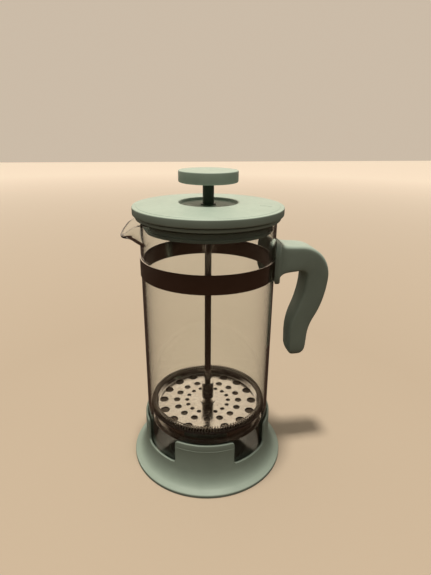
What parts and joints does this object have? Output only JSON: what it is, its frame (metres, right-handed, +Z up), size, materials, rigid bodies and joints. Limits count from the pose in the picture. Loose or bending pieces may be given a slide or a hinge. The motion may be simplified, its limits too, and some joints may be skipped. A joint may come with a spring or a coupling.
{
  "type": "french press",
  "caption": "Coffee press: glass beaker with spout in a flared plastic holder, clamped handle, lid, and a plunger with a sprung filter that slides in the glass.",
  "frame": {"origin": "centre of the holder's underside, on the beaker's axis, level with the table", "axes": "+Z up along the beaker's axis, +X towards the handle, the pouring spout 10 degrees from -X towards -Y"},
  "size_m": [0.1549, 0.123, 0.231],
  "materials": {
    "sage_plastic": "fine matt moulded polypropylene",
    "dark_plastic": "matt dark green moulded plastic",
    "clear_glass": "clear fire-polished borosilicate",
    "polished_steel": "polished stainless steel",
    "pressed_steel": "pressed stainless steel",
    "spring_steel": "drawn stainless spring wire",
    "woven_steel": "fine woven stainless screen",
    "insert_brass": "turned brass"
  },
  "bodies": {
    "root": {"base_holder": "sage_plastic", "glass_beaker": "clear_glass", "steel_band": "polished_steel", "handle_saddle": "sage_plastic", "handle_grip": "sage_plastic", "handle_cover": "sage_plastic", "handle_screw": "pressed_steel", "clamp_nut": "pressed_steel"},
    "guide": {"rod_bush": "dark_plastic", "bush_clip": "spring_steel"},
    "lid": {"lid_cover": "sage_plastic", "lid_collar": "sage_plastic"},
    "filter": {"hub_sleeve": "pressed_steel", "hub_washer": "pressed_steel", "spring_plate": "pressed_steel", "coil_spring": "spring_steel", "mesh_screen": "woven_steel", "cross_plate": "pressed_steel", "lock_nut": "pressed_steel"},
    "rod": {"plunger_rod": "polished_steel", "knob_insert": "insert_brass", "knob_stem": "dark_plastic", "knob_disc": "sage_plastic"}
  },
  "joints": [
    {"name": "lid_lift", "type": "slide", "parent": "root", "child": "guide", "axis": [0, 0, 1], "range_m": [0, 0.18]},
    {"name": "lid_turn", "type": "hinge", "parent": "guide", "child": "lid", "pos_m": [0, 0, 0.2], "axis": [0, 0, 1], "continuous": true},
    {"name": "plunger_slide", "type": "slide", "parent": "guide", "child": "filter", "axis": [0, 0, 1], "range_m": [0, 0.135]},
    {"name": "rod_unscrew", "type": "hinge", "parent": "filter", "child": "rod", "pos_m": [0, 0, 0.05], "axis": [0, 0, 1], "continuous": true}
  ]
}
